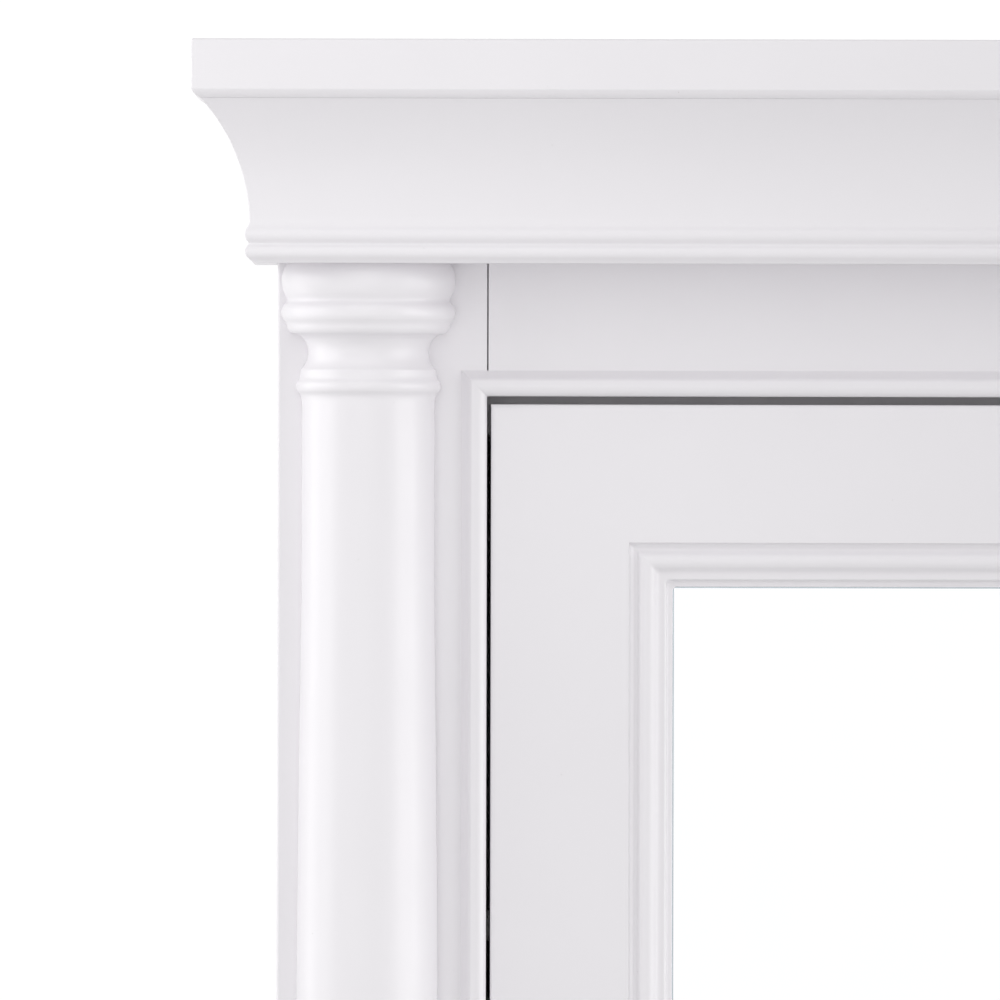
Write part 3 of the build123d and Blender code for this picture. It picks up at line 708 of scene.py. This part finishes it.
def settle_as(piece, node):
    """Settles a piece in the finish that the record gives its node."""
    return settle(piece, node, finish_of(node))


# Cornice

crown_profile = painted(
    trace(
        (0, 0),
        (9.6, 0),
        (9.7, 1.2),
        ((12.45, 4.2), (10.1, 7.3)),
        ((12.5, 10.7), (10.7, 14.2)),
        ((15.1, 39.4), (27.3, 60.5)),
        ((28.1, 62.0), (29.6, 62.9)),
        (29.6, 63),
        (0, 63),
    ),
)

# The edges of boards leave out the first and the last point of their outlines, inside the board
cap_edge = soften(
    trace(
        (0, 0),
        (29.6, 0),
        ((31.6, 1.4), (33, 3.4)),
        (33, 21.7),
        ((32.7, 22.4), (32, 22.7)),
        (0, 22.7),
    ),
    FINE_SOFTENING,
    closed=False,
)[1:-1]


def make_crown():
    """The moulding across the front, and its returns along both sides to the wall."""
    front_y = low("cornice_front_board").y
    front = bar(
        "crown_moulding_front",
        crown_profile,
        Vector((0, front_y, crown_low)),
        FORWARD,
        UP,
        RIGHT,
        [*reversed(outside_mitre(-case_half, -1)), *outside_mitre(case_half, 1)],
    )
    settle_as(front, "crown_front")
    for side, out, node in ((-1, LEFT, "crown_left_return"), (1, RIGHT, "crown_right_return")):
        sections = [*square_end(0), *outside_mitre(-front_y, 1)]
        corner = Vector((side * case_half, 0, crown_low))
        settle_as(bar(f"{node}_moulding", crown_profile, corner, out, UP, FORWARD, sections), node)


def make_cap():
    front_y = low("cornice_front_board").y
    bottom = low("cornice_cap").z
    settle_as(stacked_board("cap_board", cap_edge, case_half, front_y, bottom), "cornice_cap")


# Columns

# The capital from the top down, and so the base from the foot up, as (radius, height)
capital = trace(
    (31.4, 0),
    ((33.3, 7.9), (30.55, 14.4)),
    ((33.4, 19.4), (31.6, 22.8)),
    (31.2, 23.3),
    ((31.0, 25.0), (29.3, 27.0)),
    (26.9, 27.2),
    ((23.1, 34.4), (26.1, 40.9)),
    (26.15, 44.4),
    ((27.9, 47.3), (26.0, 50.2)),
    (25.55, 51),
)

# The shaft keeps its width this far from both ends, and swells by this much at the middle
SHAFT_STRAIGHT = 130.0
SHAFT_SWELL = 1.75
SWELL_STEPS = 40


def column_profile(height):
    """Base, swelling shaft and capital, from the foot up, as (radius, height)."""
    shaft_r = capital[-1].x
    swell = []
    for step in range(SWELL_STEPS + 1):
        share = step / SWELL_STEPS
        radius = shaft_r + 4 * SHAFT_SWELL * share * (1 - share)
        swell.append(Vector((radius, SHAFT_STRAIGHT + share * (height - 2 * SHAFT_STRAIGHT))))
    top = [Vector((point.x, height - point.y)) for point in reversed(capital)]
    return painted([*capital, *swell, *top])


def make_columns():
    for node in ("left_column", "right_column"):
        lowest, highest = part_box(node)
        foot = Vector(((lowest.x + highest.x) / 2, face_y, lowest.z))
        height = (highest.z - lowest.z) / MM
        settle_as(half_turned(f"{node}_turned", column_profile(height), foot), node)


# Base

deck_edge = painted(
    trace(
        (0, 0),
        (9.1, 0),
        ((12.45, 3.35), (9.4, 6.7)),
        ((12.5, 9.9), (9.6, 13.1)),
        (0, 13.1),
    ),
)[1:-1]

base_edge = soften(
    trace(
        (0, 0),
        (16, 0),
        ((17.4, 0.6), (18, 2)),
        (18, 13),
        ((16.24, 17.24), (12, 19)),
        (0, 19),
    ),
    FINE_SOFTENING,
    closed=False,
)[1:-1]


def make_base():
    front_y = low("base_board").y + max(point.x for point in base_edge) * MM
    for node, edge in (("base_deck", deck_edge), ("base_board", base_edge)):
        board = stacked_board(f"{node}_moulded", edge, case_half, front_y, low(node).z)
        holes = [screw_body("hole", box, DOWN) for box in islands("base_screws")]
        settle_as(cut(board, holes), node)


# Strips round the door opening and the mirror

# The strip round the door opening, and the fillet of paint along its outer side, in millimetres
STRIP_WIDTH = 7.7
PAINT_BEAD = 2.2

strip_profile = painted(
    trace(
        (-PAINT_BEAD, 0),
        ((-0.9, 0.5), (-0.1, 1.6)),
        ((0.5, 3.1), (1.9, 4)),
        (3.9, 4),
        ((6.59, 2.89), (STRIP_WIDTH, 0.2)),
        (STRIP_WIDTH, 0),
    ),
    side=-1,
)

mirror_profile = painted(
    trace(
        (0, 0),
        (0, 7.5),
        ((1.0, 5.9), (3.3, 5.0)),
        ((6.6, 7.6), (10.8, 4.5)),
        (13.9, 4.5),
        ((14.5, 3.4), (14.2, 1.9)),
        (16.9, 1.7),
        (16.9, 0),
    ),
    side=-1,
)
mirror_moulding_width = max(point.x for point in mirror_profile) * MM

retainer_profile = soften(
    trace((0, 0), (0, 4), (9, 4), (9, 2), ((8.4, 0.6), (7, 0))),
    FINE_SOFTENING,
)

# The notch in the strip that lets a hinge's knuckles turn: how deep, and how far past the leaf's ends
NOTCH_DEPTH = 3 * MM
NOTCH_END = 2 * MM
NOTCH_HEIGHT = 5 * MM

# The width of the painted reflection: a darker line in the mirror along the lip of its moulding, for the
# shaded lip
PAINTED_REFLECTION_WIDTH = 0.5 * MM


def make_bead_strips():
    half = -low("bead_strip_top").x
    bottom = low("bead_strip_bottom").z
    top = high("bead_strip_top").z
    bars = four_bars("bead", strip_profile, half, bottom, top, face_y, STRIP_FILL, MITRE_GROOVE)
    inner_x = half - STRIP_WIDTH * MM
    notches = []
    for which in ("lower", "upper"):
        lowest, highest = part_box(f"hinge_frame_leaf_{which}")
        near = Vector((inner_x - MM, face_y - NOTCH_HEIGHT, lowest.z - NOTCH_END))
        far = Vector((inner_x + NOTCH_DEPTH, face_y + MM, highest.z + NOTCH_END))
        notches.append(block("notch", near, far))
    cut(bars["right"], notches)
    for where, strip in bars.items():
        settle_as(strip, f"bead_strip_{where}")


def make_mirror_mouldings():
    bottom = low("mirror_moulding_bottom").z
    top = high("mirror_moulding_top").z
    glass_y = high("mirror_moulding_top").y
    bars = four_bars("mirror_bead", mirror_profile, door_inside, bottom, top, glass_y, MOULDING_FILL)
    for where, strip in bars.items():
        settle_as(strip, f"mirror_moulding_{where}")


def make_retaining_beads():
    lowest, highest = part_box("mirror_retaining_beads")
    bars = four_bars("retainer", retainer_profile, door_inside, lowest.z, highest.z, highest.y)
    settle_as(joined("mirror_retainers", list(bars.values())), "mirror_retaining_beads")


def make_mirror():
    """The pane. Rows and columns 1 and 3 of its grid carry the painted reflection of the shaded lip."""
    lowest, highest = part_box("mirror_glass")
    sight_half = door_inside - mirror_moulding_width
    sight_low = low("mirror_moulding_bottom").z + mirror_moulding_width
    sight_high = high("mirror_moulding_top").z - mirror_moulding_width
    xs = [lowest.x, -sight_half, -sight_half + PAINTED_REFLECTION_WIDTH, sight_half - PAINTED_REFLECTION_WIDTH, sight_half, highest.x]
    zs = [lowest.z, sight_low, sight_low + PAINTED_REFLECTION_WIDTH, sight_high - PAINTED_REFLECTION_WIDTH, sight_high, highest.z]
    vertices = [(x, lowest.y, z) for z in zs for x in xs]
    size = len(xs)
    faces = []
    painted_reflection_faces = set()
    for row in range(size - 1):
        for column in range(size - 1):
            if (row in (1, 3) and 1 <= column <= 3) or (column in (1, 3) and 1 <= row <= 3):
                painted_reflection_faces.add(len(faces))
            corner = row * size + column
            faces.append((corner, corner + 1, corner + size + 1, corner + size))
    last = size * size - 1
    first_of_last = last - size + 1
    rim = [
        *range(size - 1),
        *range(size - 1, last, size),
        *range(last, first_of_last, -1),
        *range(first_of_last, 0, -size),
    ]
    behind = len(vertices)
    vertices += [(vertices[number][0], highest.y, vertices[number][2]) for number in rim]
    for place, number in enumerate(rim):
        following = (place + 1) % len(rim)
        faces.append((number, behind + place, behind + following, rim[following]))
    faces.append(tuple(range(behind, behind + len(rim))))
    pane = new_piece("mirror_pane", vertices, faces)
    # The faces along the lip take the second material: a painted reflection of the shaded lip
    settle(pane, "mirror_glass", finishes["mirror"], painted_lip_reflection())
    for number in painted_reflection_faces:
        pane.data.polygons[number].material_index = 1


# Hardware, in millimetres

# The radius where the outline of a turned piece starts and ends, just off its axis
NEAR_AXIS = 0.05

# Countersunk screws: the shank and the head's depth are shares of the head's radius
SHANK_SHARE = 0.52
HEAD_DEPTH_SHARE = 0.55
HEAD_RIM_WIDTH = 0.12
HEAD_RIM_DEPTH = 0.1
SCREW_POINT = 3.0
SCREW_TIP_R = 0.1
SCREW_CENTRE_R = 0.02
SCREW_SIDES = 32

# The cross in a screw's head: its reach and depth are shares of the head, its width of its reach
CROSS_REACH = 0.3
CROSS_DEPTH = 0.22
CROSS_WIDTH = 0.2

KNOB_FOOT_R = 8.5
KNOB_FOOT_HEIGHT = 1.6
KNOB_NECK_R = 5.4
KNOB_NECK_HEIGHT = 11.0
KNOB_DOME_RISE = 5.0
KNOB_SOFTENING = 0.9
KNOB_SIDES = 72

PIN_R = 1.5
PIN_HEAD_R = 2.5
PIN_HEAD_HEIGHT = 1.4
PIN_CHAMFER = 0.6
PIN_SOFTENING = 0.15
PIN_SIDES = 36

PAN_HEAD_R = 4.0
PAN_HEAD_HEIGHT = 2.4
PAN_CROSS_REACH = 2.2
PAN_CROSS_DEPTH = 1.5
KNOB_SCREW_R = 2.0
KNOB_SCREW_SIDES = 40


def screw_measures(box, head_toward):
    """The middle of a screw's head, the head's width and the screw's length, from the box it fills."""
    lowest, highest = box
    size = highest - lowest
    axis = max(range(3), key=lambda number: abs(head_toward[number]))
    head_centre = (lowest + highest) / 2 + head_toward * size[axis] / 2
    return head_centre, size[(axis + 1) % 3], size[axis]


def screw_body(name, box, head_toward):
    """A countersunk screw that fills a box, with its head towards a direction."""
    head_centre, width, length = screw_measures(box, head_toward)
    head_r = width / 2 / MM
    shank_r = SHANK_SHARE * head_r
    end = length / MM
    profile = trace(
        (SCREW_CENTRE_R, 0),
        (head_r - HEAD_RIM_WIDTH, 0),
        (head_r, HEAD_RIM_DEPTH),
        (shank_r, HEAD_DEPTH_SHARE * head_r),
        (shank_r, end - SCREW_POINT),
        (SCREW_TIP_R, end),
    )
    return turned(name, profile, head_centre, -head_toward, SCREW_SIDES)


def cross_cutter(centre, toward, reach, depth):
    """A tapering cross for a screwdriver, cut into a head."""
    turn = toward.to_track_quat("Z", "Y").to_matrix()
    wide = CROSS_WIDTH * reach
    corners = [
        (reach, wide), (wide, wide), (wide, reach), (-wide, reach), (-wide, wide), (-reach, wide),
        (-reach, -wide), (-wide, -wide), (-wide, -reach), (wide, -reach), (wide, -wide), (reach, -wide),
    ]
    rings = []
    for share, height in ((1.15, 0.15 * depth), (1.0, 0), (0.45, -depth)):
        rings.append([centre + turn @ Vector((x * share, y * share, height)) for x, y in corners])
    return new_piece("cross", *skin(rings))


def make_screws(node, toward):
    """Every screw of a node, its head towards a direction and a cross cut into it."""
    screws = []
    for box in islands(node):
        head_centre, width, length = screw_measures(box, toward)
        cross = cross_cutter(head_centre, toward, CROSS_REACH * width, CROSS_DEPTH * width)
        screws.append(cut(screw_body("screw", box, toward), [cross]))
    settle_as(joined(f"{node}_driven", screws), node)


def make_knob():
    """A bevelled foot, a tapered neck and a domed cap."""
    lowest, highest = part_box("door_knob")
    centre = Vector(((lowest.x + highest.x) / 2, highest.y, (lowest.z + highest.z) / 2))
    out = (highest.y - lowest.y) / MM
    cap_r = (highest.x - lowest.x) / 2 / MM
    dome_low = out - KNOB_DOME_RISE
    sphere_r = (cap_r ** 2 + KNOB_DOME_RISE ** 2) / (2 * KNOB_DOME_RISE)
    half_way = cap_r / 2
    half_height = out - sphere_r + math.sqrt(sphere_r ** 2 - half_way ** 2)
    profile = trace(
        (NEAR_AXIS, 0),
        (KNOB_FOOT_R, 0),
        (KNOB_FOOT_R, KNOB_FOOT_HEIGHT),
        (6.6, 2.8),
        (KNOB_NECK_R, KNOB_NECK_HEIGHT),
        (12.6, dome_low - 3.2),
        (cap_r, dome_low - 1.8),
        (cap_r, dome_low),
        ((half_way, half_height), (NEAR_AXIS, out)),
    )
    softened = soften(profile, KNOB_SOFTENING, closed=False)
    settle_as(turned("knob_turned", softened, centre, FORWARD, KNOB_SIDES), "door_knob")


def make_pins():
    """The hinges' pins, with a bevelled head at each end."""
    for which in ("lower", "upper"):
        node = f"hinge_pin_{which}"
        lowest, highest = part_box(node)
        centre = (lowest + highest) / 2
        half = (highest.z - lowest.z) / 2 / MM
        upper = trace(
            (PIN_R, half - PIN_HEAD_HEIGHT),
            (PIN_HEAD_R, half - PIN_HEAD_HEIGHT),
            (PIN_HEAD_R, half - PIN_CHAMFER),
            (PIN_HEAD_R - PIN_CHAMFER, half),
            (NEAR_AXIS, half),
        )
        lower = [Vector((point.x, -point.y)) for point in reversed(upper)]
        profile = soften([*lower, *upper], PIN_SOFTENING, closed=False)
        settle_as(turned(f"{node}_turned", profile, centre, UP, PIN_SIDES), node)


def make_knob_screw():
    """A pan-head screw: the head shows on the back of the door."""
    lowest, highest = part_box("knob_screw")
    centre = Vector(((lowest.x + highest.x) / 2, highest.y, (lowest.z + highest.z) / 2))
    length = (highest.y - lowest.y) / MM
    profile = trace(
        (NEAR_AXIS, 0),
        (3.0, 0),
        ((3.7, 0.3), (PAN_HEAD_R, 1.0)),
        (PAN_HEAD_R, PAN_HEAD_HEIGHT),
        (KNOB_SCREW_R, PAN_HEAD_HEIGHT),
        (KNOB_SCREW_R, length),
        (NEAR_AXIS, length),
    )
    screw = turned("knob_screw_pan_head", profile, centre, FORWARD, KNOB_SCREW_SIDES)
    cut(screw, [cross_cutter(centre, BACK, PAN_CROSS_REACH * MM, PAN_CROSS_DEPTH * MM)])
    settle_as(screw, "knob_screw")


make_crown()
make_cap()
make_columns()
make_base()
make_bead_strips()
make_mirror_mouldings()
make_retaining_beads()
make_mirror()
make_knob()
make_pins()
make_knob_screw()
make_screws("column_screws", BACK)
make_screws("base_screws", DOWN)
make_screws("catch_screws", BACK)
make_screws("strike_screw", BACK)
make_screws("hinge_frame_screws", LEFT)
make_screws("hinge_door_screws", RIGHT)

# What keeps its packed form, with the round on its long edges in millimetres
eases = {
    "left_stile": 0.4, "right_stile": 0.4, "frieze_rail": 0.3, "bottom_rail": 0.3,
    "left_side_panel": 0.4, "right_side_panel": 0.4, "top_panel": 0.3, "bottom_panel": 0.3,
    "back_panel": 0.2, "upper_hanging_rail": 0.4, "lower_hanging_rail": 0.4,
    "cornice_front_board": 0.3, "cornice_soffit": 0.3, "cornice_end_blocks": 0.3,
    "upper_shelf": 0.5, "lower_shelf": 0.5, "door_stop_strip": 0.4,
    "door_left_stile": 0.3, "door_right_stile": 0.3, "door_top_rail": 0.3, "door_bottom_rail": 0.3,
    "mirror_backing_board": 0.3, "magnetic_catch_housing": 0.3, "catch_magnet": 0.2,
    "catch_strike_plate": 0.15, "shelf_pins": 0.0, "door_bumpers": 0.0,
    "hinge_frame_leaf_lower": 0.1, "hinge_frame_leaf_upper": 0.1,
    "hinge_door_leaf_lower": 0.1, "hinge_door_leaf_upper": 0.1,
}
for node, ease in eases.items():
    settle_as(eased(f"{node}_finished", node, ease * MM), node)


# Floor, light and camera

# The floor in metres, and the strengths of the backdrop and of the fill
FLOOR_R = 1.5
FLOOR_SIDES = 96
FLOOR_GAP = 1 * MM
FLOOR_FADE_FROM = 0.5
FLOOR_FADE_TO = 0.95 * FLOOR_R
BACKDROP_LIGHT = 1.05
FILL_LIGHT = 0.46


def make_floor():
    """A pale disc under the base that fades out before its rim."""
    bottom = cad_box[0].z - FLOOR_GAP
    angles = [math.tau * step / FLOOR_SIDES for step in range(FLOOR_SIDES)]
    rim = [Vector((FLOOR_R * math.cos(angle), FLOOR_R * math.sin(angle), bottom)) for angle in angles]
    floor = new_piece("floor", rim, [tuple(range(FLOOR_SIDES))])
    finish = Finish("floor", (0.93, 0.93, 0.93), 0.6)
    tree = finish.tree
    distance = tree.nodes.new("ShaderNodeVectorMath")
    distance.operation = "LENGTH"
    finish.link(finish.place, distance.inputs[0])
    fade = finish.between(distance.outputs["Value"], FLOOR_FADE_FROM, FLOOR_FADE_TO, 0, 1)
    clear = tree.nodes.new("ShaderNodeBsdfTransparent")
    mixed = tree.nodes.new("ShaderNodeMixShader")
    finish.link(fade, mixed.inputs[0])
    finish.link(finish.shader.outputs[0], mixed.inputs[1])
    finish.link(clear.outputs[0], mixed.inputs[2])
    finish.link(mixed.outputs[0], tree.nodes["Material Output"].inputs["Surface"])
    floor.data.materials.append(finish.material)


def make_world():
    """White to the eye and in the mirror, and a dimmer fill for the light that matt surfaces scatter."""
    world = bpy.data.worlds.new("studio")
    world.use_nodes = True
    bpy.context.scene.world = world
    tree = world.node_tree
    shown = tree.nodes["Background"]
    shown.inputs["Color"].default_value = (1, 1, 1, 1)
    shown.inputs["Strength"].default_value = BACKDROP_LIGHT
    fill = tree.nodes.new("ShaderNodeBackground")
    fill.inputs["Color"].default_value = (1, 1, 1, 1)
    fill.inputs["Strength"].default_value = FILL_LIGHT
    path = tree.nodes.new("ShaderNodeLightPath")
    scattered = tree.nodes.new("ShaderNodeMath")
    scattered.operation = "GREATER_THAN"
    scattered.inputs[1].default_value = 0.5
    tree.links.new(path.outputs["Diffuse Depth"], scattered.inputs[0])
    mixed = tree.nodes.new("ShaderNodeMixShader")
    tree.links.new(scattered.outputs[0], mixed.inputs[0])
    tree.links.new(shown.outputs[0], mixed.inputs[1])
    tree.links.new(fill.outputs[0], mixed.inputs[2])
    tree.links.new(mixed.outputs[0], tree.nodes["World Output"].inputs["Surface"])


# Softboxes: the place they face, azimuth from straight ahead towards the right, elevation, distance,
# width, height and watts
softboxes = {
    "left_behind": ((-0.2, -0.15, 0.2), -105, 6, 1.3, 0.5, 1.4, 3.8),
    "left_near": ((-0.25, -0.15, 0.42), -80, 10, 0.9, 0.5, 0.8, 1.2),
    "left": ((-0.2, -0.15, 0.2), -70, 10, 1.3, 0.6, 1.2, 3.1),
    "front_near": ((-0.35, -0.15, 0.42), 0, 8, 0.9, 0.6, 0.6, 1.1),
    "front_above": ((-0.32, -0.15, 0.42), -5, 45, 1.0, 0.8, 0.6, 1.3),
    "front_below": ((-0.32, -0.15, 0.45), -20, -25, 1.0, 0.8, 0.5, 1.3),
    "right_front": ((-0.15, -0.15, 0.2), 60, 8, 4.5, 1.8, 3.6, 52.0),
    "right": ((-0.15, -0.15, 0.2), 88, 6, 4.5, 1.5, 4.2, 78.0),
}


def make_softbox(name, target, azimuth, elevation, distance, width, height, watts):
    light = bpy.data.lights.new(f"softbox_{name}", "AREA")
    light.shape = "RECTANGLE"
    light.size = width
    light.size_y = height
    light.energy = watts
    lamp = bpy.data.objects.new(f"softbox_{name}", light)
    turn = math.radians(azimuth)
    rise = math.radians(elevation)
    toward = Vector((math.sin(turn) * math.cos(rise), -math.cos(turn) * math.cos(rise), math.sin(rise)))
    lamp.location = Vector(target) + toward * distance
    lamp.rotation_euler = toward.to_track_quat("Z", "Y").to_euler()
    lamp.visible_camera = False
    bpy.context.scene.collection.objects.link(lamp)


def make_camera():
    """Straight on, and so far off that the view is almost without perspective."""
    middle = PHOTO_PIXELS / 2
    x = (middle - CABINET_CENTRE_PIXEL_X) * PIXEL
    z = crown_low - (middle - CORNICE_UNDERSIDE_PIXEL_Y) * PIXEL
    lens = bpy.data.cameras.new("camera")
    lens.sensor_width = SENSOR
    lens.lens = SENSOR * CAMERA_DISTANCE / (PHOTO_PIXELS * PIXEL)
    lens.clip_start = 1.0
    lens.clip_end = 60.0
    camera = bpy.data.objects.new("camera", lens)
    camera.location = (x, face_y - CAMERA_DISTANCE, z)
    camera.rotation_euler = (math.pi / 2, CAMERA_ROLL, 0)
    bpy.context.scene.collection.objects.link(camera)
    bpy.context.scene.camera = camera


make_floor()
make_world()
for name, setup in softboxes.items():
    make_softbox(name, *setup)
make_camera()
bpy.context.scene.view_settings.view_transform = "Standard"
